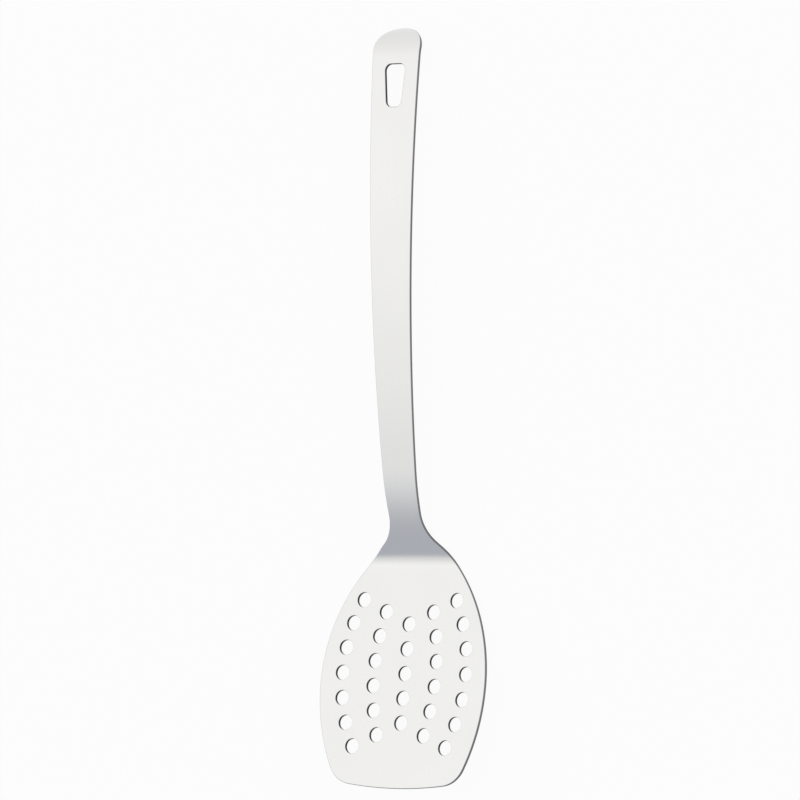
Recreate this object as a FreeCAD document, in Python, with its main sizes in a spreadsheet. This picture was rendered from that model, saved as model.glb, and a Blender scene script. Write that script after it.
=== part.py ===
import FreeCAD, Part
import math
import os
import Sketcher
from FreeCAD import Placement, Rotation, Vector

# One-piece frying spatula: a stainless sheet is blanked, pierced and pressed.
# The blade is dished a little across its width. The sheet then bends up at the heel into a
# short steep neck, eases into a long bowed handle and curls down at the handle's end.
# Working frame: the middle line of the blade's top face is at z = 0, the blade's front edge
# is at y = 0 and the handle runs towards +Y.
# Finished frame: the spatula lies as it rests on a table, on its heel and its handle's end,
# with the origin under the middle of its box. Lengths are millimetres and angles degrees.

SIZES = {
    # Sheet
    "sheet_thickness": 1.6,
    "crown_radius": 400,
    "edge_break": 0.25,
    "trim_allowance": 2,
    # Side profile, along the middle line of the top face
    "flat_length": 88.5,
    "heel_radius": 55,
    "neck_slope": 41,
    "neck_run": 1,
    "ease_radius": 26,
    "handle_slope": 18.5,
    "handle_run": 199.3,
    "end_slope": 3.5,
    "curl_radius": 20,
    "curl_turn": 44,
    # Outline, seen from above
    "blade_width": 88,
    "widest_at": 48.2,
    "front_radius": 181,
    "front_corner_radius": 8.3,
    "lower_side_radius": 91.5,
    "upper_side_radius": 83.7,
    "shoulder_radius": 26.1,
    "neck_width": 16.4,
    "handle_taper": 1.2,
    "end_radius": 17,
    "end_corner_radius": 9.8,
    # Draining holes, in five columns, the outer ones bowed like the blade's sides
    "hole_diameter": 7,
    "pattern_middle": 53,
    "centre_count": 5,
    "centre_pitch": 11.4,
    "inner_offset": 16.6,
    "inner_bow_radius": 101,
    "inner_count": 6,
    "inner_pitch": 11.5,
    "outer_offset": 32.7,
    "outer_bow_radius": 75.5,
    "outer_count": 7,
    "outer_pitch": 11.7,
    # Hanging hole, a rounded slot that widens towards the handle's end
    "hanger_length": 19.8,
    "hanger_end_margin": 17.6,
    "hanger_wide": 10.6,
    "hanger_narrow": 8.1,
    "hanger_corner_radius": 3,
}

# Point positions and axes in a sketch
START, END, MIDDLE = range(1, 4)
ORIGIN = (-1, 1)
HORIZONTAL_AXIS = -1
VERTICAL_AXIS = -2

# A sketch on the XZ plane and one on the YZ plane
UPRIGHT_ACROSS = Rotation(Vector(1, 0, 0), 90)
UPRIGHT_ALONG = Rotation(Vector(1, 1, 1), 120)

doc = FreeCAD.newDocument("FryingSpatula")


def make_sheet():
    """Fill the spreadsheet of driving dimensions, one named cell each."""
    cells = doc.addObject("Spreadsheet::Sheet", "Sizes")
    for row, (alias, value) in enumerate(SIZES.items(), start=1):
        cells.set(f"A{row}", alias.replace("_", " "))
        cells.set(f"B{row}", str(value))
        cells.setAlias(f"B{row}", alias)
    doc.recompute()
    return cells


sheet = make_sheet()


def size(expression):
    """The value of an expression in the sheet's dimensions."""
    return float(sheet.evalExpression(expression))


def sines(expression):
    """Cosine and sine of an angle given in degrees."""
    angle = math.radians(size(expression))
    return math.cos(angle), math.sin(angle)


# Sketching

def drive(sketch, name, kind, where, expression):
    """Add a named dimension to a sketch and bind it to the sheet."""
    value = float(sketch.evalExpression(expression))
    if kind == "Angle":
        value = math.radians(value)
    index = sketch.addConstraint(Sketcher.Constraint(kind, *where, value))
    sketch.renameConstraint(index, name)
    sketch.setExpression(f"Constraints.{name}", expression)


def measure(sketch, name, kind, where):
    """Add a named reference dimension, which other features can read."""
    index = sketch.addConstraint(Sketcher.Constraint(kind, *where, 1.0))
    sketch.setDriving(index, False)
    sketch.renameConstraint(index, name)


def tie(sketch, kind, *where):
    sketch.addConstraint(Sketcher.Constraint(kind, *where))


def add_line(sketch, start, end):
    return sketch.addGeometry(Part.LineSegment(start, end))


def add_arc(sketch, centre, start, end):
    """An arc that runs counter-clockwise from start to end."""
    first = math.atan2(start.y - centre.y, start.x - centre.x)
    last = math.atan2(end.y - centre.y, end.x - centre.x)
    if last < first:
        last += 2 * math.pi
    circle = Part.Circle(centre, Vector(0, 0, 1), start.distanceToPoint(centre))
    return sketch.addGeometry(Part.ArcOfCircle(circle, first, last))


def across(point):
    """The mirror image of a point on the other side of the middle line."""
    return Vector(-point.x, point.y, 0)


def mirror_line(sketch, right, start, end):
    left = add_line(sketch, across(start), across(end))
    tie(sketch, "Symmetric", right, START, left, START, VERTICAL_AXIS)
    tie(sketch, "Symmetric", right, END, left, END, VERTICAL_AXIS)


def mirror_arc(sketch, right, centre, start, end):
    left = add_arc(sketch, across(centre), across(end), across(start))
    tie(sketch, "Symmetric", right, START, left, END, VERTICAL_AXIS)
    tie(sketch, "Symmetric", right, END, left, START, VERTICAL_AXIS)
    tie(sketch, "Equal", right, left)


def towards(start, end, distance):
    """The point at a distance from start on the way to end."""
    return start + (end - start).normalize() * distance


def inside_both(first, first_radius, second, second_radius):
    """Where two circles cross, on the right-hand side."""
    span = second - first
    length = span.Length
    along = (first_radius**2 - second_radius**2 + length**2) / (2 * length)
    aside = math.sqrt(first_radius**2 - along**2)
    foot = first + span * (along / length)
    normal = Vector(-span.y, span.x, 0) / length
    return max(foot + normal * aside, foot - normal * aside, key=lambda point: point.x)


# Side profile: the middle line of the top face, drawn tangent from the front edge to the end

class Pen:
    """Draws tangent runs and bends one after another in a sketch."""

    def __init__(self, sketch, start):
        self.sketch = sketch
        self.place = start
        self.heading = 0.0
        self.last = None

    def join(self, geometry, near, far):
        if self.last is not None:
            tie(self.sketch, "Tangent", *self.last, geometry, near)
        self.last = (geometry, far)
        return geometry

    def run(self, length):
        ahead = Vector(math.cos(self.heading), math.sin(self.heading), 0)
        start = self.place
        self.place = start + ahead * length
        return self.join(add_line(self.sketch, start, self.place), START, END)

    def bend(self, radius, turn):
        side = math.copysign(1.0, turn)
        start = self.place
        centre = start + Vector(-math.sin(self.heading), math.cos(self.heading), 0) * (side * radius)
        self.heading += math.radians(turn)
        out = Vector(math.sin(self.heading), -math.cos(self.heading), 0)
        self.place = centre + out * (side * radius)
        if turn > 0:
            return self.join(add_arc(self.sketch, centre, start, self.place), START, END)
        return self.join(add_arc(self.sketch, centre, self.place, start), END, START)


def make_side_path():
    path = doc.addObject("Sketcher::SketchObject", "SidePath")
    path.Placement = Placement(Vector(), UPRIGHT_ALONG)
    handle_bow = "Sizes.handle_run / ((Sizes.handle_slope - Sizes.end_slope) * pi / 180)"
    pen = Pen(path, Vector(-size("trim_allowance"), 0, 0))
    blade = pen.run(size("trim_allowance + flat_length"))
    heel = pen.bend(size("heel_radius"), size("neck_slope"))
    neck = pen.run(size("neck_run"))
    ease = pen.bend(size("ease_radius"), size("handle_slope - neck_slope"))
    handle = pen.bend(float(path.evalExpression(handle_bow)), size("end_slope - handle_slope"))
    curl = pen.bend(size("curl_radius"), size("-curl_turn"))
    spare = pen.run(size("trim_allowance"))

    tie(path, "PointOnObject", blade, START, HORIZONTAL_AXIS)
    tie(path, "Horizontal", blade)
    drive(path, "start_back", "DistanceX", (blade, START, *ORIGIN), "Sizes.trim_allowance")
    drive(path, "blade_length", "Distance", (blade,), "Sizes.trim_allowance + Sizes.flat_length")
    drive(path, "heel_bend", "Radius", (heel,), "Sizes.heel_radius")
    drive(path, "neck_angle", "Angle", (neck,), "Sizes.neck_slope")
    drive(path, "neck_length", "Distance", (neck,), "Sizes.neck_run")
    drive(path, "ease_bend", "Radius", (ease,), "Sizes.ease_radius")
    drive(path, "ease_turn", "Angle", (ease,), "Sizes.neck_slope - Sizes.handle_slope")
    drive(path, "handle_bend", "Radius", (handle,), handle_bow)
    drive(path, "handle_turn", "Angle", (handle,), "Sizes.handle_slope - Sizes.end_slope")
    drive(path, "curl_bend", "Radius", (curl,), "Sizes.curl_radius")
    drive(path, "curl_angle", "Angle", (curl,), "Sizes.curl_turn")
    drive(path, "spare_length", "Distance", (spare,), "Sizes.trim_allowance")
    measure(path, "tip_reach", "DistanceX", (*ORIGIN, curl, START))
    return path, heel, curl


def make_crown_section():
    """The sheet's section across: an arc with its low point on the middle line."""
    section = doc.addObject("Sketcher::SketchObject", "CrownSection")
    section.Placement = Placement(Vector(0, -size("trim_allowance"), 0), UPRIGHT_ACROSS)
    section.setExpression("Placement.Base.y", "-Sizes.trim_allowance")
    radius = size("crown_radius")
    reach = size("blade_width / 2 + trim_allowance")
    centre = Vector(0, radius, 0)
    height = radius - math.sqrt(radius**2 - reach**2)
    arc = add_arc(section, centre, Vector(-reach, height, 0), Vector(reach, height, 0))
    tie(section, "PointOnObject", arc, MIDDLE, VERTICAL_AXIS)
    tie(section, "PointOnObject", *ORIGIN, arc)
    tie(section, "Symmetric", arc, START, arc, END, VERTICAL_AXIS)
    drive(section, "crown_bend", "Radius", (arc,), "Sizes.crown_radius")
    drive(section, "half_reach", "DistanceX", (*ORIGIN, arc, END),
          "Sizes.blade_width / 2 + Sizes.trim_allowance")
    return section


# Outline of the blank, seen from above

def make_outline(tip):
    outline = doc.addObject("Sketcher::SketchObject", "Outline")
    half_width = size("blade_width / 2")
    widest = Vector(half_width, size("widest_at"), 0)
    front_radius = size("front_radius")
    corner_radius = size("front_corner_radius")
    lower_radius = size("lower_side_radius")
    upper_radius = size("upper_side_radius")
    shoulder_radius = size("shoulder_radius")
    end_radius = size("end_radius")
    end_corner_radius = size("end_corner_radius")
    taper_cosine, taper_sine = sines("handle_taper")

    front_centre = Vector(0, front_radius, 0)
    lower_centre = widest - Vector(lower_radius, 0, 0)
    upper_centre = widest - Vector(upper_radius, 0, 0)
    corner_centre = inside_both(front_centre, front_radius - corner_radius,
                                lower_centre, lower_radius - corner_radius)
    corner_start = towards(front_centre, corner_centre, front_radius)
    corner_end = towards(lower_centre, corner_centre, lower_radius)

    shoulder_x = size("neck_width / 2") + shoulder_radius * taper_cosine
    between = upper_radius + shoulder_radius
    rise = math.sqrt(between**2 - (shoulder_x - upper_centre.x)**2)
    shoulder_centre = Vector(shoulder_x, upper_centre.y + rise, 0)
    shoulder_low = towards(upper_centre, shoulder_centre, upper_radius)
    neck_point = shoulder_centre - Vector(taper_cosine, -taper_sine, 0) * shoulder_radius

    end_centre = Vector(0, tip - end_radius, 0)
    up_side = Vector(taper_sine, taper_cosine, 0)
    inwards = Vector(-taper_cosine, taper_sine, 0)
    offset_start = neck_point + inwards * end_corner_radius - end_centre
    ahead = offset_start.dot(up_side)
    gap = (end_radius - end_corner_radius)**2 - offset_start.dot(offset_start) + ahead**2
    side_length = math.sqrt(gap) - ahead
    side_end = neck_point + up_side * side_length
    end_corner_centre = side_end + inwards * end_corner_radius
    end_corner_end = towards(end_centre, end_corner_centre, end_radius)

    front = add_arc(outline, front_centre, across(corner_start), corner_start)
    corner = add_arc(outline, corner_centre, corner_start, corner_end)
    lower = add_arc(outline, lower_centre, corner_end, widest)
    upper = add_arc(outline, upper_centre, widest, shoulder_low)
    shoulder = add_arc(outline, shoulder_centre, neck_point, shoulder_low)
    side = add_line(outline, neck_point, side_end)
    end_corner = add_arc(outline, end_corner_centre, side_end, end_corner_end)
    end = add_arc(outline, end_centre, end_corner_end, across(end_corner_end))

    tie(outline, "PointOnObject", front, MIDDLE, VERTICAL_AXIS)
    tie(outline, "PointOnObject", *ORIGIN, front)
    tie(outline, "Tangent", front, END, corner, START)
    tie(outline, "Tangent", corner, END, lower, START)
    tie(outline, "Tangent", lower, END, upper, START)
    tie(outline, "Horizontal", lower, MIDDLE, lower, END)
    tie(outline, "Tangent", upper, END, shoulder, END)
    tie(outline, "Tangent", shoulder, START, side, START)
    tie(outline, "Tangent", side, END, end_corner, START)
    tie(outline, "Tangent", end_corner, END, end, START)
    tie(outline, "PointOnObject", end, MIDDLE, VERTICAL_AXIS)
    tie(outline, "Symmetric", front, START, front, END, VERTICAL_AXIS)
    tie(outline, "Symmetric", end, START, end, END, VERTICAL_AXIS)

    drive(outline, "front_bend", "Radius", (front,), "Sizes.front_radius")
    drive(outline, "front_corner", "Radius", (corner,), "Sizes.front_corner_radius")
    drive(outline, "lower_bend", "Radius", (lower,), "Sizes.lower_side_radius")
    drive(outline, "upper_bend", "Radius", (upper,), "Sizes.upper_side_radius")
    drive(outline, "half_width", "DistanceX", (*ORIGIN, lower, END), "Sizes.blade_width / 2")
    drive(outline, "widest_place", "DistanceY", (*ORIGIN, lower, END), "Sizes.widest_at")
    drive(outline, "shoulder_bend", "Radius", (shoulder,), "Sizes.shoulder_radius")
    drive(outline, "half_neck", "DistanceX", (*ORIGIN, side, START), "Sizes.neck_width / 2")
    drive(outline, "side_angle", "Angle", (side,), "90 - Sizes.handle_taper")
    drive(outline, "end_corner", "Radius", (end_corner,), "Sizes.end_corner_radius")
    drive(outline, "end_bend", "Radius", (end,), "Sizes.end_radius")
    drive(outline, "end_place", "DistanceY", (*ORIGIN, end, MIDDLE),
          "SidePath.Constraints.tip_reach / 1 mm - Sizes.end_radius")

    mirror_arc(outline, corner, corner_centre, corner_start, corner_end)
    mirror_arc(outline, lower, lower_centre, corner_end, widest)
    mirror_arc(outline, upper, upper_centre, widest, shoulder_low)
    mirror_arc(outline, shoulder, shoulder_centre, neck_point, shoulder_low)
    mirror_line(outline, side, neck_point, side_end)
    mirror_arc(outline, end_corner, end_corner_centre, side_end, end_corner_end)
    return outline


# The formed blank: the swept top face, trimmed to the outline and thickened downwards, so that
# every wall stands square to the sheet

def make_blank():
    path, heel, curl = make_side_path()
    section = make_crown_section()
    doc.recompute()
    tip = path.getDatum("tip_reach").Value

    strip = doc.addObject("Part::Sweep", "FormedStrip")
    strip.Sections = [section]
    strip.Spine = (path, [f"Edge{number + 1}" for number in range(len(path.Geometry))])
    strip.Solid = False
    strip.Frenet = False

    prism = doc.addObject("Part::Extrusion", "OutlinePrism")
    prism.Base = make_outline(tip)
    prism.DirMode = "Custom"
    prism.Dir = Vector(0, 0, 1)
    prism.Solid = True
    prism.setExpression("LengthFwd", "Sizes.flat_length + Sizes.handle_run")
    prism.setExpression("LengthRev", "Sizes.flat_length + Sizes.handle_run")

    trimmed = doc.addObject("Part::Common", "TrimmedFace")
    trimmed.Base = strip
    trimmed.Tool = prism

    blank = doc.addObject("Part::Offset", "FormedBlank")
    blank.Source = trimmed
    blank.Fill = True
    blank.setExpression("Value", "-Sizes.sheet_thickness")
    doc.recompute()
    return blank, path, heel, curl


# Body: the blank with its hanging hole, its rims broken where a hand meets them, and then its
# draining holes, whose rims stay as punched

def plane(body, role):
    return next(item for item in body.Origin.OriginFeatures if item.Role == role)


def sketch_on_top(body, name, x_expression, y_expression):
    """A sketch on the body's XY plane, with its own origin moved to a place on it."""
    sketch = body.newObject("Sketcher::SketchObject", name)
    sketch.AttachmentSupport = [(plane(body, "XY_Plane"), "")]
    sketch.MapMode = "FlatFace"
    sketch.setExpression("AttachmentOffset.Base.x", x_expression)
    sketch.setExpression("AttachmentOffset.Base.y", y_expression)
    return sketch


def pierce(body, sketch, name):
    """Cut a sketch right through the sheet and check that it removed metal."""
    before = body.Shape
    pocket = body.newObject("PartDesign::Pocket", name)
    pocket.Profile = (sketch, [""])
    pocket.Type = "ThroughAll"
    pocket.SideType = "Symmetric"
    body.Tip = pocket
    doc.recompute()
    metal_there = before.common(pocket.AddSubShape).Volume
    metal_left = body.Shape.common(pocket.AddSubShape).Volume
    if not metal_left < metal_there:
        raise RuntimeError(f"{name} removed nothing")
    return pocket


def pierce_hanging_hole(body):
    """A slot with round corners whose sides slant in towards the blade."""
    top = "SidePath.Constraints.tip_reach / 1 mm - Sizes.hanger_end_margin"
    sketch = sketch_on_top(body, "HangingHole", "0", top)
    radius = size("hanger_corner_radius")
    length = size("hanger_length")
    upper_centre = Vector(size("hanger_wide / 2") - radius, -radius, 0)
    lower_centre = Vector(size("hanger_narrow / 2") - radius, radius - length, 0)
    slant = (upper_centre - lower_centre).normalize()
    outwards = Vector(slant.y, -slant.x, 0) * radius
    side_low = lower_centre + outwards
    side_high = upper_centre + outwards
    top_end = Vector(upper_centre.x, 0, 0)
    bottom_end = Vector(lower_centre.x, -length, 0)

    top_line = add_line(sketch, top_end, across(top_end))
    bottom_line = add_line(sketch, across(bottom_end), bottom_end)
    lower = add_arc(sketch, lower_centre, bottom_end, side_low)
    side = add_line(sketch, side_low, side_high)
    upper = add_arc(sketch, upper_centre, side_high, top_end)

    tie(sketch, "Tangent", bottom_line, END, lower, START)
    tie(sketch, "Tangent", lower, END, side, START)
    tie(sketch, "Tangent", side, END, upper, START)
    tie(sketch, "Tangent", upper, END, top_line, START)
    tie(sketch, "PointOnObject", top_line, START, HORIZONTAL_AXIS)
    tie(sketch, "Symmetric", top_line, START, top_line, END, VERTICAL_AXIS)
    tie(sketch, "Symmetric", bottom_line, START, bottom_line, END, VERTICAL_AXIS)
    drive(sketch, "lower_corner", "Radius", (lower,), "Sizes.hanger_corner_radius")
    drive(sketch, "upper_corner", "Radius", (upper,), "Sizes.hanger_corner_radius")
    drive(sketch, "upper_place", "DistanceX", (*ORIGIN, upper, MIDDLE),
          "Sizes.hanger_wide / 2 - Sizes.hanger_corner_radius")
    drive(sketch, "lower_place", "DistanceX", (*ORIGIN, lower, MIDDLE),
          "Sizes.hanger_narrow / 2 - Sizes.hanger_corner_radius")
    drive(sketch, "slot_length", "DistanceY", (bottom_line, END, *ORIGIN), "Sizes.hanger_length")
    mirror_arc(sketch, lower, lower_centre, bottom_end, side_low)
    mirror_line(sketch, side, side_low, side_high)
    mirror_arc(sketch, upper, upper_centre, side_high, top_end)
    pierce(body, sketch, "HangingHoleCut")


def is_sharp(shape, edge):
    """Whether the two faces that meet at an edge stand at more than half a right angle."""
    faces = shape.ancestorsOfType(edge, Part.Face)
    if len(faces) != 2:
        return False
    first, last = edge.ParameterRange
    middle = edge.valueAt((first + last) / 2)
    normals = [face.normalAt(*face.Surface.parameter(middle)) for face in faces]
    return normals[0].getAngle(normals[1]) > math.pi / 4


def break_edges(body):
    """Take the sharpness off the outline and the hanging hole, on both faces of the sheet."""
    pierced = body.Tip
    shape = pierced.Shape
    names = [f"Edge{number}" for number, edge in enumerate(shape.Edges, start=1) if is_sharp(shape, edge)]
    broken = body.newObject("PartDesign::Chamfer", "BrokenEdges")
    broken.Base = (pierced, names)
    broken.setExpression("Size", "Sizes.edge_break")
    body.Tip = broken
    doc.recompute()


def pierce_centre_column(body):
    """Holes in a straight row along the middle line."""
    sketch = sketch_on_top(body, "CentreHole", "0",
                           "Sizes.pattern_middle - (Sizes.centre_count - 1) / 2 * Sizes.centre_pitch")
    hole = sketch.addGeometry(Part.Circle(Vector(), Vector(0, 0, 1), size("hole_diameter / 2")))
    tie(sketch, "Coincident", hole, MIDDLE, *ORIGIN)
    drive(sketch, "hole_size", "Diameter", (hole,), "Sizes.hole_diameter")
    pocket = pierce(body, sketch, "CentreHoleCut")
    row = body.newObject("PartDesign::LinearPattern", "CentreColumn")
    row.Originals = [pocket]
    row.Direction = (plane(body, "Y_Axis"), [""])
    row.Mode = "Spacing"
    row.setExpression("Offset", "Sizes.centre_pitch")
    row.setExpression("Occurrences", "Sizes.centre_count")
    body.Tip = row
    doc.recompute()


def pierce_bowed_columns(body, title, key):
    """Holes on an arc that bows outwards, and the same column mirrored on the left."""
    bow = f"Sizes.{key}_bow_radius"
    step = f"(Sizes.{key}_pitch / {bow} * 180 / pi)"
    first = f"(Sizes.{key}_count - 1) / 2 * {step}"
    sketch = sketch_on_top(body, f"{title}Hole", f"Sizes.{key}_offset - {bow}", "Sizes.pattern_middle")
    across_expression = f"{bow} * cos({first})"
    down_expression = f"{bow} * sin({first})"
    centre = Vector(sketch.evalExpression(across_expression), -sketch.evalExpression(down_expression), 0)
    hole = sketch.addGeometry(Part.Circle(centre, Vector(0, 0, 1), size("hole_diameter / 2")))
    drive(sketch, "hole_across", "DistanceX", (*ORIGIN, hole, MIDDLE), across_expression)
    drive(sketch, "hole_down", "DistanceY", (hole, MIDDLE, *ORIGIN), down_expression)
    drive(sketch, "hole_size", "Diameter", (hole,), "Sizes.hole_diameter")
    pocket = pierce(body, sketch, f"{title}HoleCut")

    columns = body.newObject("PartDesign::MultiTransform", f"{title}Columns")
    arc = body.newObject("PartDesign::PolarPattern", f"{title}Arc")
    arc.Axis = (sketch, ["N_Axis"])
    arc.Mode = "Spacing"
    arc.setExpression("Offset", step)
    arc.setExpression("Occurrences", f"Sizes.{key}_count")
    mirror = body.newObject("PartDesign::Mirrored", f"{title}Mirror")
    mirror.MirrorPlane = (plane(body, "YZ_Plane"), [""])
    columns.Originals = [pocket]
    columns.Transformations = [arc, mirror]
    body.Tip = columns
    doc.recompute()


def lay_down(body, path, heel, curl):
    """Turn the spatula until its heel and its handle's end lie on the ground."""
    thickness = size("sheet_thickness")
    heel_centre = path.Geometry[heel].Center
    curl_arc = path.Geometry[curl]
    outwards = (curl_arc.StartPoint - curl_arc.Center).normalize()
    tip = curl_arc.StartPoint - outwards * thickness
    reach = tip - heel_centre
    slope = math.atan2(reach.y, reach.x) + math.asin((heel_centre.y + thickness) / reach.Length)
    turned = Placement(Vector(), Rotation(Vector(-1, 0, 0), math.degrees(slope)))
    shape = body.Shape.copy()
    shape.Placement = turned
    box = shape.optimalBoundingBox()
    middle = Vector(box.Center.x, box.Center.y, box.ZMin)
    body.Placement = Placement(middle.negative(), turned.Rotation)
    doc.recompute()


def check(objects):
    """Stop if any object failed to build."""
    for item in objects:
        if "Invalid" in item.State or "Error" in item.State:
            raise RuntimeError(f"{item.Name} is {item.State}")
    steps = {step.Name for item in objects for step in getattr(item, "Transformations", [])}
    for item in objects:
        if item.Name in steps or not item.isDerivedFrom("Part::Feature"):
            continue
        if item.Shape.isNull() or not item.Shape.isValid():
            raise RuntimeError(f"{item.Name} has no valid shape")


def build():
    blank, path, heel, curl = make_blank()
    body = doc.addObject("PartDesign::Body", "Spatula")
    body.Label = "spatula"
    body.BaseFeature = blank
    doc.recompute()
    pierce_hanging_hole(body)
    break_edges(body)
    pierce_centre_column(body)
    pierce_bowed_columns(body, "Inner", "inner")
    pierce_bowed_columns(body, "Outer", "outer")
    lay_down(body, path, heel, curl)
    return body


body = build()
check(doc.Objects)
os.makedirs("parts", exist_ok=True)
body.Shape.exportStep(f"parts/{body.Label}.step")
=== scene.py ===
import math

import bpy
import numpy as np
from mathutils import Matrix, Vector
from mathutils.geometry import delaunay_2d_cdt


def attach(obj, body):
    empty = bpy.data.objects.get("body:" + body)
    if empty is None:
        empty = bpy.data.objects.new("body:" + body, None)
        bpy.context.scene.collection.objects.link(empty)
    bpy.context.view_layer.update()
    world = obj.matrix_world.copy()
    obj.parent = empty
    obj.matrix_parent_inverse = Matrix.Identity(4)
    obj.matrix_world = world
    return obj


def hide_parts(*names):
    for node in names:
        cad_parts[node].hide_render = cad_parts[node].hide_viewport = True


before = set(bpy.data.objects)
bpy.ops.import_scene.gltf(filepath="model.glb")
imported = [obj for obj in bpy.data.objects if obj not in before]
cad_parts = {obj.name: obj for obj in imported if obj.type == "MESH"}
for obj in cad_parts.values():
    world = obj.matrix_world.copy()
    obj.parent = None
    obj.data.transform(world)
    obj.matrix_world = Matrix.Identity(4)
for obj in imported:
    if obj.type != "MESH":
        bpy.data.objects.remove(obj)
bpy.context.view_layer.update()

# Sizes in millimetres and degrees, fitted to the photograph. They follow it more closely than
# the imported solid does, and the sheet made of them stays within 2 mm of that solid
MM = 0.001
THICKNESS = 1.6

# Side profile, along the middle of the top face, and the dish across it
FLAT_LENGTH = 101.3
HEEL_RADIUS = 13
NECK_SLOPE = 34.6
NECK_RUN = 6.2
EASE_RADIUS = 108
HANDLE_SLOPE = 17
HANDLE_RUN = 189.5
END_SLOPE = 2.8
CURL_RADIUS = 20
CURL_TURN = 44
CROWN_RADIUS = 500

# Outline, seen straight down on the blade
HALF_WIDTH = 43.9
WIDEST_AT = 47.7
FRONT_RADIUS = 198
FRONT_CORNER_RADIUS = 13
LOWER_SIDE_RADIUS = 90.8
UPPER_SIDE_RADIUS = 84.2
SHOULDER_RADIUS = 15.4
HALF_NECK = 8.25
HANDLE_TAPER = 1.15
END_RADIUS = 17
END_CORNER_RADIUS = 9.7

# Draining holes. The bowed columns come in pairs, each with its distance from the middle, the
# radius of its bow, its number of holes and their pitch
HOLE_RADIUS = 3.5
PATTERN_MIDDLE = 52.8
CENTRE_COUNT = 5
CENTRE_PITCH = 11.4
BOWED_COLUMNS = [(16.5, 106, 6, 11.5), (32.9, 74.5, 7, 11.7)]

# Hanging hole
HANGER_LENGTH = 19.8
HANGER_END_MARGIN = 17.6
HANGER_HALF_WIDE = 5.3
HANGER_HALF_NARROW = 4.05
HANGER_CORNER_RADIUS = 3

# Rounding of the rims. The power says how soon the wall's look takes over round an edge
EDGE_ROUNDING = 0.25
PUNCHED_ROUNDING = 0.1
CUT_POWER = 0.35

# Fineness of the mesh
SIDE_STEP = 0.7
STRAIGHT_STEP = 1.2
CORNER_STEP = 0.4
HANGER_CORNER_STEP = 0.3
RIM_STEPS = 5
FILL_ACROSS = 1.5
FILL_CLEARANCE = 0.6


# Side profile: tangent stretches of the top face's middle line

def along(angle):
    """The direction at an angle."""
    return np.array([math.cos(angle), math.sin(angle)])


def square_to(angle):
    """The direction a quarter turn to the left of an angle."""
    return np.array([-math.sin(angle), math.cos(angle)])


class Stretch:
    """One stretch of the profile. The radius is below nought where it bows down, None if straight."""

    def __init__(self, start, heading, radius, length):
        self.start = np.array(start, float)
        self.heading = heading
        self.radius = radius
        if radius is None:
            self.end_heading = heading
            self.end = self.start + length * along(heading)
        else:
            self.end_heading = heading + length / radius
            self.centre = self.start + radius * square_to(heading)
            self.end = self.centre - radius * square_to(self.end_heading)

    def begins(self, lift):
        """Where the stretch begins in plan, for a line that lies higher by a lift square to it."""
        return self.start[0] - lift * math.sin(self.heading)

    def over(self, y, lift):
        """Height and heading over plan places, for a line that lies higher by a lift."""
        if self.radius is None:
            cosine, sine = along(self.heading)
            run = (y - self.start[0] + lift * sine) / cosine
            return self.start[1] + run * sine + lift * cosine, np.full_like(y, self.heading)
        reach = self.radius - lift
        heading = np.arcsin(np.clip((y - self.centre[0]) / reach, -1, 1))
        return self.centre[1] - reach * np.cos(heading), heading


def make_profile():
    """The stretches from the front edge to the tip: flat, heel, neck, easing bend, handle, curl."""
    handle_radius = HANDLE_RUN / math.radians(HANDLE_SLOPE - END_SLOPE)
    plan = [
        (None, FLAT_LENGTH),
        (HEEL_RADIUS, HEEL_RADIUS * math.radians(NECK_SLOPE)),
        (None, NECK_RUN),
        (-EASE_RADIUS, EASE_RADIUS * math.radians(NECK_SLOPE - HANDLE_SLOPE)),
        (-handle_radius, HANDLE_RUN),
        (-CURL_RADIUS, CURL_RADIUS * math.radians(CURL_TURN)),
    ]
    stretches = []
    place, heading = (0, 0), 0.0
    for radius, length in plan:
        stretch = Stretch(place, heading, radius, length)
        stretches.append(stretch)
        place, heading = stretch.end, stretch.end_heading
    return stretches


PROFILE = make_profile()
TIP = PROFILE[-1].end


def on_sheet(places):
    """Points of the top face over plan places, and the sheet's normals there."""
    x, y = places[:, 0], places[:, 1]
    lift = CROWN_RADIUS - np.sqrt(CROWN_RADIUS**2 - x**2)
    z, heading = PROFILE[0].over(y, lift)
    for stretch in PROFILE[1:]:
        here = y >= stretch.begins(lift)
        own_z, own_heading = stretch.over(y, lift)
        z = np.where(here, own_z, z)
        heading = np.where(here, own_heading, heading)
    lean = x / CROWN_RADIUS
    upright = np.sqrt(1 - lean**2)
    normals = np.stack([-lean, -upright * np.sin(heading), upright * np.cos(heading)], -1)
    return np.stack([x, y, z], -1), normals


# Outline and holes, as closed runs of plan places with the directions that point out of the
# metal. The metal is on the left of each run, so the holes run the other way round

def arc(centre, radius, first, last, step=SIDE_STEP):
    """Points on an arc and its outward directions, without the last point."""
    count = max(3, int(math.ceil(abs(last - first) * radius / step)))
    angles = first + (last - first) * np.arange(count) / count
    outs = np.stack([np.cos(angles), np.sin(angles)], -1)
    return np.array(centre) + radius * outs, outs


def line(start, end, out):
    """Points on a straight line and its outward directions, without the last point."""
    start, end = np.array(start, float), np.array(end, float)
    count = max(2, int(math.ceil(np.linalg.norm(end - start) / STRAIGHT_STEP)))
    shares = np.arange(count)[:, None] / count
    return start + (end - start) * shares, np.tile(np.array(out, float), (count, 1))


def angle_of(vector):
    return math.atan2(vector[1], vector[0])


def crossing(first, first_radius, second, second_radius):
    """Where two circles cross, on the right-hand side."""
    span = second - first
    length = np.linalg.norm(span)
    ahead = (first_radius**2 - second_radius**2 + length**2) / (2 * length)
    aside = math.sqrt(first_radius**2 - ahead**2)
    foot = first + span * (ahead / length)
    normal = np.array([-span[1], span[0]]) / length
    return max(foot + normal * aside, foot - normal * aside, key=lambda place: place[0])


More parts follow.
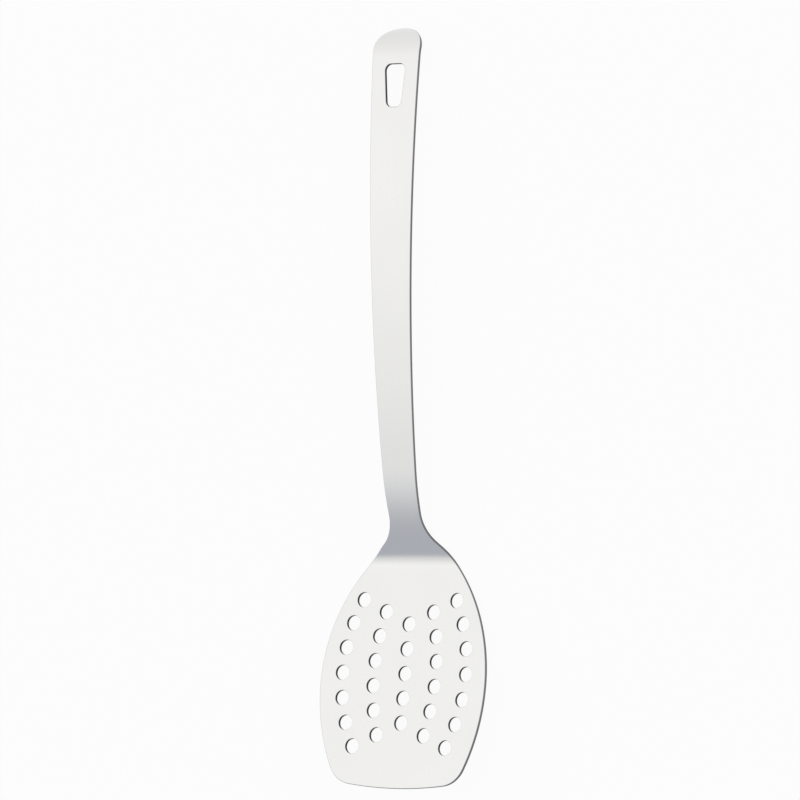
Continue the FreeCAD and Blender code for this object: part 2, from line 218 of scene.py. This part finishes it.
def right_half():
    """The right-hand side of the outline, from the front's middle to the end's middle."""
    front_centre = np.array([0, FRONT_RADIUS])
    lower_centre = np.array([HALF_WIDTH - LOWER_SIDE_RADIUS, WIDEST_AT])
    upper_centre = np.array([HALF_WIDTH - UPPER_SIDE_RADIUS, WIDEST_AT])
    corner_centre = crossing(front_centre, FRONT_RADIUS - FRONT_CORNER_RADIUS,
                             lower_centre, LOWER_SIDE_RADIUS - FRONT_CORNER_RADIUS)

    taper = math.radians(HANDLE_TAPER)
    side_out, side_up = along(-taper), square_to(-taper)
    shoulder_x = HALF_NECK + SHOULDER_RADIUS * math.cos(taper)
    between = UPPER_SIDE_RADIUS + SHOULDER_RADIUS
    rise = math.sqrt(between**2 - (shoulder_x - upper_centre[0])**2)
    shoulder_centre = np.array([shoulder_x, WIDEST_AT + rise])
    neck_point = shoulder_centre - side_out * SHOULDER_RADIUS

    end_centre = np.array([0, TIP[0] - END_RADIUS])
    offset = neck_point - side_out * END_CORNER_RADIUS - end_centre
    ahead = offset @ side_up
    side_length = math.sqrt((END_RADIUS - END_CORNER_RADIUS)**2 - offset @ offset + ahead**2) - ahead
    side_end = neck_point + side_up * side_length
    end_corner_centre = side_end - side_out * END_CORNER_RADIUS

    front_end = angle_of(corner_centre - front_centre)
    corner_end = angle_of(corner_centre - lower_centre)
    shoulder_angle = angle_of(shoulder_centre - upper_centre)
    end_start = angle_of(end_corner_centre - end_centre)
    hollow, inwards = arc(shoulder_centre, SHOULDER_RADIUS, shoulder_angle + math.pi, math.pi - taper)
    return [
        arc(front_centre, FRONT_RADIUS, -math.pi / 2, front_end),
        arc(corner_centre, FRONT_CORNER_RADIUS, front_end, corner_end, CORNER_STEP),
        arc(lower_centre, LOWER_SIDE_RADIUS, corner_end, 0),
        arc(upper_centre, UPPER_SIDE_RADIUS, 0, shoulder_angle),
        (hollow, -inwards),
        line(neck_point, side_end, side_out),
        arc(end_corner_centre, END_CORNER_RADIUS, -taper, end_start, CORNER_STEP),
        arc(end_centre, END_RADIUS, end_start, math.pi / 2, CORNER_STEP),
    ]


def close_run(half, top):
    """A whole closed run from its right half, which starts on the middle line and ends at the top."""
    places = np.vstack([piece[0] for piece in half] + [[(0, top)]])
    outs = np.vstack([piece[1] for piece in half] + [[(0, 1)]])
    mirror = np.array([-1, 1])
    return np.vstack([places, places[-2:0:-1] * mirror]), np.vstack([outs, outs[-2:0:-1] * mirror])


def as_hole(places, outs):
    """The same run the other way round, with directions that point into the hole."""
    return places[::-1], -outs[::-1]


def make_outline():
    return close_run(right_half(), TIP[0])


def make_round_hole(centre):
    return as_hole(*arc(centre, HOLE_RADIUS, 0, 2 * math.pi, CORNER_STEP))


def make_hanging_hole():
    """A rounded slot that is wider towards the handle's end."""
    radius = HANGER_CORNER_RADIUS
    top = TIP[0] - HANGER_END_MARGIN
    bottom = top - HANGER_LENGTH
    high = np.array([HANGER_HALF_WIDE - radius, top - radius])
    low = np.array([HANGER_HALF_NARROW - radius, bottom + radius])
    slant = (high - low) / np.linalg.norm(high - low)
    side_out = np.array([slant[1], -slant[0]])
    turn = angle_of(side_out)
    half = [
        line((0, bottom), (low[0], bottom), (0, -1)),
        arc(low, radius, -math.pi / 2, turn, HANGER_CORNER_STEP),
        line(low + side_out * radius, high + side_out * radius, side_out),
        arc(high, radius, turn, math.pi / 2, HANGER_CORNER_STEP),
        line((high[0], top), (0, top), (0, 1)),
    ]
    return as_hole(*close_run(half, top))


def hole_centres():
    """Centres of the draining holes: a straight middle column, then mirrored pairs of bowed ones."""
    centres = []
    for k in range(CENTRE_COUNT):
        centres.append((0, PATTERN_MIDDLE + (k - (CENTRE_COUNT - 1) / 2) * CENTRE_PITCH))
    for offset, bow, count, pitch in BOWED_COLUMNS:
        for k in range(count):
            turn = (k - (count - 1) / 2) * pitch / bow
            x = offset - bow + bow * math.cos(turn)
            y = PATTERN_MIDDLE + bow * math.sin(turn)
            centres += [(x, y), (-x, y)]
    return centres


def make_runs():
    """Every run with its directions, whether it is cut square to the sheet, and its rounding."""
    runs = [(*make_outline(), True, EDGE_ROUNDING)]
    for centre in hole_centres():
        runs.append((*make_round_hole(centre), False, PUNCHED_ROUNDING))
    runs.append((*make_hanging_hole(), False, EDGE_ROUNDING))
    return runs


# Rims: rings of points that round both edges of a cut

SETTLING_ROUNDS = 4


def unit(vectors):
    return vectors / np.linalg.norm(vectors, axis=1)[:, None]


def cut_through(places, square):
    """Points of both faces at a cut through plan places, each with the sheet's normals there.

    The cut is square to the sheet, or else goes straight down through it.
    """
    top, top_normals = on_sheet(places)
    if square:
        return top, top_normals, top - THICKNESS * top_normals, top_normals
    foot = places
    for _ in range(SETTLING_ROUNDS):
        foot = places + THICKNESS * on_sheet(foot)[1][:, :2]
    above, normals = on_sheet(foot)
    return top, top_normals, above - THICKNESS * normals, normals


def rounded_edge(edge, inset, normals, outs, sink):
    """Rings of points and normals round one edge, from the face to the wall."""
    rings = []
    for step in range(RIM_STEPS + 1):
        cosine, sine = along(math.pi / 2 * step / RIM_STEPS)
        ring = inset + sink * (1 - cosine) + (edge - inset) * sine
        rings.append((ring, unit(normals * cosine + outs * sine)))
    return rings


def make_rim(places, outs, square, rounding):
    """The plan places where a rim meets the top face, and its rings down to the underside."""
    inset_places = places - outs * rounding
    top_edge, _, low_edge, _ = cut_through(places, square)
    top_inset, top_normals, low_inset, low_normals = cut_through(inset_places, square)
    down = unit(low_edge - top_edge)
    aside = top_edge - top_inset
    wall_normals = unit(aside - down * np.sum(aside * down, axis=1)[:, None])
    top_rings = rounded_edge(top_edge, top_inset, top_normals, wall_normals, down * rounding)
    low_rings = rounded_edge(low_edge, low_inset, -low_normals, wall_normals, -down * rounding)
    return inset_places, top_rings + low_rings[::-1]


# The faces: a plan mesh between the rims, laid over the sheet once for each face

COMPARED_AT_ONCE = 2000
MERGE_DISTANCE = 1e-6

# Areas of plan points: half width, first and last place along the sheet, spacing of the rows
FILL_AREAS = [
    (42, 0, 92, 1.5),
    (22.5, 92, 140, 0.9),
    (11.25, 140, 322, 2),
    (11.25, 322, TIP[0], 0.8),
]


def inside(points, run):
    """Which plan points lie inside a closed run of places."""
    result = np.zeros(len(points), bool)
    x, y = points[:, 0], points[:, 1]
    for (ax, ay), (bx, by) in zip(run, np.roll(run, -1, axis=0)):
        if ay == by:
            continue
        crosses = (ay > y) != (by > y)
        result ^= crosses & (x < ax + (y - ay) * (bx - ax) / (by - ay))
    return result


def on_metal(points, insets):
    """Which plan points lie inside the outline, the first of the runs, and outside the holes."""
    keep = inside(points, insets[0])
    for hole in insets[1:]:
        keep &= ~inside(points, hole)
    return keep


def clear_of(points, places, distance):
    """Which points are further than a distance from every one of the places."""
    keep = np.ones(len(points), bool)
    for start in range(0, len(points), COMPARED_AT_ONCE):
        block = slice(start, start + COMPARED_AT_ONCE)
        gaps = np.linalg.norm(points[block, None] - places[None], axis=2)
        keep[block] = gaps.min(axis=1) > distance
    return keep


def fill_points(insets):
    """Plan points spread over the metal between the rims, in closer rows where it bends."""
    grids = []
    for half_width, first, last, spacing in FILL_AREAS:
        across = np.arange(-half_width, half_width + FILL_ACROSS / 2, FILL_ACROSS)
        x, y = np.meshgrid(across, np.arange(first, last, spacing))
        grids.append(np.stack([x.ravel(), y.ravel()], -1))
    points = np.vstack(grids)
    points = points[on_metal(points, insets)]
    return points[clear_of(points, np.vstack(insets), FILL_CLEARANCE)]


def make_triangles(plan, insets):
    """Triangles between the plan points, as indices, with the runs of the rims among their edges."""
    edges, start = [], 0
    for inset in insets:
        count = len(inset)
        edges += [(start + k, start + (k + 1) % count) for k in range(count)]
        start += count
    found = delaunay_2d_cdt([Vector(place) for place in plan], edges, [], 0, MERGE_DISTANCE)
    places, faces, origins = found[0], found[2], found[3]
    if len(places) != len(plan):
        raise RuntimeError("the plan mesh has merged or added points")
    order = np.array([sources[0] for sources in origins])
    triangles = order[np.array(faces)]
    return triangles[on_metal(plan[triangles].mean(axis=1), insets)]


class SheetMesh:
    """Points of the sheet with their normals and marks, and the faces between them.

    The mark "cut" is 1 on a wall and 0 on a face, and the hole mark is 1 round a hole, where the walls get
    the darkest painted shade.
    """

    def __init__(self):
        self.points = []
        self.normals = []
        self.marks = {"cut": [], "pierced": []}
        self.faces = []
        self.total = 0

    def add(self, points, normals, cut=0.0, pierced=0.0):
        """Adds points and returns their indices."""
        first = self.total
        self.total += len(points)
        self.points.append(points)
        self.normals.append(normals)
        self.marks["cut"].append(np.full(len(points), cut))
        self.marks["pierced"].append(np.full(len(points), pierced))
        return np.arange(first, self.total)

    def join(self, above, below):
        """Adds the faces between two closed rings of points."""
        self.faces += np.stack([np.roll(above, -1), above, below, np.roll(below, -1)], -1).tolist()


def build_sheet():
    """The whole sheet: both faces on one plan mesh, joined by the rims."""
    rims = [make_rim(*run) for run in make_runs()]
    insets = [inset for inset, _ in rims]
    filling = fill_points(insets)
    sheet = SheetMesh()
    points, normals = on_sheet(filling)
    filling_tops = sheet.add(points, normals)
    filling_lows = sheet.add(points - THICKNESS * normals, -normals)

    cuts = np.linspace(0, 1, RIM_STEPS + 1)**CUT_POWER
    tops, lows = [], []
    for number, (_, rings) in enumerate(rims):
        # The rims of holes get the darkest painted shade on their walls
        pierced = 1.0 if number else 0.0
        indices = [sheet.add(*ring, cut, pierced) for ring, cut in zip(rings, [*cuts, *cuts[::-1]])]
        for above, below in zip(indices, indices[1:]):
            sheet.join(above, below)
        tops.append(indices[0])
        lows.append(indices[-1])

    triangles = make_triangles(np.vstack([*insets, filling]), insets)
    top_index = np.concatenate([*tops, filling_tops])
    low_index = np.concatenate([*lows, filling_lows])
    sheet.faces += top_index[triangles].tolist()
    sheet.faces += low_index[triangles][:, ::-1].tolist()
    return sheet


# The rest pose: turned about X until the heel and the handle's end lie on the ground

def rest_placement():
    """The turn and shift from the working frame to the resting one, as a matrix in millimetres."""
    curl = PROFILE[-1]
    low_tip = curl.end - THICKNESS * square_to(curl.end_heading)
    heel = PROFILE[1].centre
    reach = low_tip - heel
    slope = angle_of(reach) + math.asin((heel[1] + THICKNESS) / np.linalg.norm(reach))
    turn = Matrix.Rotation(-slope, 4, "X")
    corners = [(0, 0), (0, -THICKNESS), tuple(curl.end), tuple(low_tip)]
    turned = [(turn @ Vector((0, y, z))).y for y, z in corners]
    ground = (turn @ Vector((0, *heel))).z - HEEL_RADIUS - THICKNESS
    middle = (max(turned) + min(turned)) / 2
    return Matrix.Translation((0, -middle, -ground)) @ turn


REST = rest_placement()
PATH_SAMPLES = 400


def path_length(y):
    """Length along the sheet's middle line up to plan places, for the grain."""
    line_y = np.linspace(0, TIP[0], PATH_SAMPLES)
    points, _ = on_sheet(np.stack([np.zeros(PATH_SAMPLES), line_y], -1))
    steps = np.linalg.norm(np.diff(points, axis=0), axis=1)
    return np.interp(y, line_y, np.concatenate([[0], np.cumsum(steps)]))


def make_spatula():
    """The sheet as a Blender object in the resting frame, with places along it as its UV map."""
    sheet = build_sheet()
    points = np.vstack(sheet.points)
    normals = np.vstack(sheet.normals)
    turn = np.array(REST.to_3x3())
    shift = np.array(REST.translation)
    mesh = bpy.data.meshes.new("spatula_sheet")
    mesh.from_pydata(((points @ turn.T + shift) * MM).tolist(), [], sheet.faces)
    mesh.update()
    mesh.shade_smooth()
    mesh.normals_split_custom_set_from_vertices((normals @ turn.T).tolist())
    for name, values in sheet.marks.items():
        mesh.attributes.new(name, "FLOAT", "POINT").data.foreach_set("value", np.concatenate(values))
    corners = np.zeros(len(mesh.loops), int)
    mesh.loops.foreach_get("vertex_index", corners)
    places = np.stack([points[:, 0], path_length(points[:, 1])], -1)[corners]
    mesh.uv_layers.new(name="along_sheet").data.foreach_set("uv", places.ravel())
    piece = bpy.data.objects.new("spatula_sheet", mesh)
    bpy.context.scene.collection.objects.link(piece)
    return piece


# Camera, fitted to the photograph in the working frame. It leans to the spatula's side and
# towards the blade's front, and it is rolled

CAMERA_SIDE = 32
CAMERA_TOWARDS_FRONT = 8.6706
CAMERA_ROLL = 4.8478
CAMERA_AIM = (-15.096, 179.786, 0)
CAMERA_DISTANCE = 3000
PIXELS_PER_MM = 2.17
PICTURE_PIXELS = 800
SENSOR = 36
CLIP_END_M = 20


def make_camera():
    side = math.radians(CAMERA_SIDE)
    front = math.radians(CAMERA_TOWARDS_FRONT)
    roll = math.radians(CAMERA_ROLL)
    back = Vector((math.sin(side) * math.cos(front), -math.sin(front), math.cos(side) * math.cos(front)))
    right = Vector((math.cos(side), 0, -math.sin(side)))
    up = back.cross(right)
    rolled_right = right * math.cos(roll) + up * math.sin(roll)
    rolled_up = up * math.cos(roll) - right * math.sin(roll)
    pose = Matrix((rolled_right, rolled_up, back)).transposed().to_4x4()
    pose.translation = Vector(CAMERA_AIM) + back * CAMERA_DISTANCE
    placed = REST @ pose
    placed.translation = placed.translation * MM
    data = bpy.data.cameras.new("camera")
    data.sensor_width = SENSOR
    data.lens = PIXELS_PER_MM * CAMERA_DISTANCE / PICTURE_PIXELS * SENSOR
    data.clip_end = CLIP_END_M
    camera = bpy.data.objects.new("camera", data)
    camera.matrix_world = placed
    bpy.context.scene.collection.objects.link(camera)
    bpy.context.scene.camera = camera


# Nodes for the materials

NOISE_ROUGHNESS = 0.55


def add_node(tree, kind, settings=None, values=None, links=None):
    """A node with its settings, fixed input values and incoming links."""
    made = tree.nodes.new(kind)
    for name, value in (settings or {}).items():
        setattr(made, name, value)
    for name, value in (values or {}).items():
        made.inputs[name].default_value = value
    for name, source in (links or {}).items():
        tree.links.new(source, made.inputs[name])
    return made


def add_math(tree, operation, values=None, links=None):
    return add_node(tree, "ShaderNodeMath", {"operation": operation}, values, links).outputs[0]


def add_attribute(tree, name):
    return add_node(tree, "ShaderNodeAttribute", {"attribute_name": name}).outputs["Fac"]


def add_noise(tree, place, cells, detail):
    """Noise over the sheet, with its cells to a millimetre across the sheet and along it."""
    mapping = add_node(tree, "ShaderNodeMapping", values={"Scale": (*cells, 1)}, links={"Vector": place})
    noise = add_node(tree, "ShaderNodeTexNoise",
                     values={"Scale": 1, "Detail": detail, "Roughness": NOISE_ROUGHNESS},
                     links={"Vector": mapping.outputs[0]})
    return noise.outputs["Fac"]


def map_range(tree, value, source, target):
    """A value carried from one range to another, held at the ends."""
    limits = {"From Min": source[0], "From Max": source[1], "To Min": target[0], "To Max": target[1]}
    return add_node(tree, "ShaderNodeMapRange", values=limits, links={"Value": value}).outputs[0]


def mix_colour(tree, factor, first, second):
    """A mix of two colours, of which the second is fixed or comes from a node."""
    made = add_node(tree, "ShaderNodeMix", {"data_type": "RGBA"})
    tree.links.new(factor, made.inputs[0])
    made.inputs[6].default_value = (*first, 1)
    if isinstance(second, tuple):
        made.inputs[7].default_value = (*second, 1)
    else:
        tree.links.new(second, made.inputs[7])
    return made.outputs[2]


# Brushed steel, with its grain along the sheet. Cut walls are duller, and their colour is painted shade:
# far darker than the steel, standing in for the dark reflections along the edges, and darkest in the holes

FACE_COLOUR = (0.83, 0.828, 0.82)
# Painted shade: far darker than steel, standing in for the dark reflections on the cut edges, which are
# also duller
CUT_WALL_DULL_AND_SHADE_COLOUR = (0.2, 0.204, 0.212)
# Painted shade: near black, standing in for the shade and dark reflections in the holes' walls
HOLE_WALL_SHADE_COLOUR = (0.048, 0.05, 0.053)
ANISOTROPY = 0.75
GRAIN_CELLS = (5.0, 0.06)
GRAIN_RANGE = (0.3, 0.7)
PATCH_CELLS = (0.03, 0.03)
PATCH_RANGE = (0.35, 0.65)
FACE_ROUGHNESS = (0.28, 0.34)
PATCH_ROUGHNESS = (-0.02, 0.02)
WALL_ROUGHNESS_ADDED = 0.2
GRAIN_STRENGTH = 0.03
GRAIN_DEPTH_M = 0.0001


def make_steel():
    material = bpy.data.materials.new("brushed_steel")
    material.use_nodes = True
    tree = material.node_tree
    shader = tree.nodes["Principled BSDF"]
    shader.inputs["Metallic"].default_value = 1
    shader.inputs["Anisotropic"].default_value = ANISOTROPY
    sheet_place = add_node(tree, "ShaderNodeUVMap", {"uv_map": "along_sheet"}).outputs[0]
    tangent = add_node(tree, "ShaderNodeTangent", {"direction_type": "UV_MAP", "uv_map": "along_sheet"})
    tree.links.new(tangent.outputs[0], shader.inputs["Tangent"])

    cut = add_attribute(tree, "cut")
    # The walls' colour is painted shade, darkest round the holes
    wall_shade_colour = mix_colour(tree, add_attribute(tree, "pierced"), CUT_WALL_DULL_AND_SHADE_COLOUR, HOLE_WALL_SHADE_COLOUR)
    tree.links.new(mix_colour(tree, cut, FACE_COLOUR, wall_shade_colour), shader.inputs["Base Color"])

    grain = add_noise(tree, sheet_place, GRAIN_CELLS, 4)
    patches = add_noise(tree, sheet_place, PATCH_CELLS, 2)
    brushed = map_range(tree, grain, GRAIN_RANGE, FACE_ROUGHNESS)
    uneven = map_range(tree, patches, PATCH_RANGE, PATCH_ROUGHNESS)
    face = add_math(tree, "ADD", links={0: brushed, 1: uneven})
    rough = add_math(tree, "MULTIPLY_ADD", {1: WALL_ROUGHNESS_ADDED}, {0: cut, 2: face})
    tree.links.new(rough, shader.inputs["Roughness"])
    bump = add_node(tree, "ShaderNodeBump", values={"Strength": GRAIN_STRENGTH, "Distance": GRAIN_DEPTH_M},
                    links={"Height": grain})
    tree.links.new(bump.outputs[0], shader.inputs["Normal"])
    return material


# A pale floor that looks nearly white to the camera and in reflections, but keeps the shadow

FLOOR_REACH_M = 6
FLOOR_COLOUR = (0.86, 0.86, 0.86)
FLOOR_ROUGHNESS = 0.9
WHITE_SHARE = 0.92


def background_rays(tree):
    """One for a ray from the camera, a reflection or glass, and nought for the others."""
    path = add_node(tree, "ShaderNodeLightPath").outputs
    either = add_math(tree, "MAXIMUM", links={0: path["Is Camera Ray"], 1: path["Is Glossy Ray"]})
    return add_math(tree, "MAXIMUM", links={0: either, 1: path["Is Transmission Ray"]})


def make_floor_material():
    material = bpy.data.materials.new("pale_floor")
    material.use_nodes = True
    tree = material.node_tree
    shader = tree.nodes["Principled BSDF"]
    shader.inputs["Base Color"].default_value = (*FLOOR_COLOUR, 1)
    shader.inputs["Roughness"].default_value = FLOOR_ROUGHNESS
    shader.inputs["Specular IOR Level"].default_value = 0
    share = add_math(tree, "MULTIPLY", {1: WHITE_SHARE}, {0: background_rays(tree)})
    white = add_node(tree, "ShaderNodeEmission", values={"Color": (1, 1, 1, 1), "Strength": 1.0})
    mixed = add_node(tree, "ShaderNodeMixShader",
                     links={0: share, 1: shader.outputs[0], 2: white.outputs[0]})
    tree.links.new(mixed.outputs[0], tree.nodes["Material Output"].inputs["Surface"])
    return material


def make_floor():
    mesh = bpy.data.meshes.new("floor")
    corners = [(-1, -1), (1, -1), (1, 1), (-1, 1)]
    mesh.from_pydata([(x * FLOOR_REACH_M, y * FLOOR_REACH_M, 0) for x, y in corners], [], [(0, 1, 2, 3)])
    floor = bpy.data.objects.new("floor", mesh)
    bpy.context.scene.collection.objects.link(floor)
    floor.data.materials.append(make_floor_material())


# The light: a white studio, dimmer towards the side that the blade points to. Each band has the
# Y part of its direction, from that side to the handle's, and its colour

WORLD_BANDS = [
    (-1.0, (0.47, 0.49, 0.54)),
    (-0.66, (0.47, 0.49, 0.54)),
    (-0.53, (0.45, 0.47, 0.52)),
    (-0.43, (0.63, 0.645, 0.67)),
    (-0.34, (0.78, 0.79, 0.80)),
    (-0.20, (0.88, 0.88, 0.882)),
    (-0.12, (0.955, 0.953, 0.948)),
    (0.02, (1.07, 1.065, 1.055)),
    (0.22, (1.10, 1.095, 1.085)),
    (0.30, (1.05, 1.045, 1.04)),
    (0.70, (0.96, 0.955, 0.95)),
    (1.0, (0.91, 0.91, 0.91)),
]


def make_world():
    world = bpy.data.worlds.new("studio")
    bpy.context.scene.world = world
    world.use_nodes = True
    tree = world.node_tree
    direction = add_node(tree, "ShaderNodeTexCoord").outputs["Generated"]
    parts = add_node(tree, "ShaderNodeSeparateXYZ", links={"Vector": direction})
    place = map_range(tree, parts.outputs["Y"], (-1, 1), (0, 1))
    ramp = add_node(tree, "ShaderNodeValToRGB", links={"Fac": place})
    elements = ramp.color_ramp.elements
    elements[0].position = 0
    elements[1].position = 1
    for y, _ in WORLD_BANDS[1:-1]:
        elements.new((y + 1) / 2)
    for element, (_, colour) in zip(elements, WORLD_BANDS):
        element.color = (*colour, 1)
    tree.links.new(ramp.outputs["Color"], tree.nodes["Background"].inputs["Color"])


bpy.context.scene.view_settings.view_transform = "Standard"
steel = make_steel()
spatula = make_spatula()
spatula.data.materials.append(steel)
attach(spatula, "root")
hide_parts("spatula")
make_floor()
make_world()
make_camera()
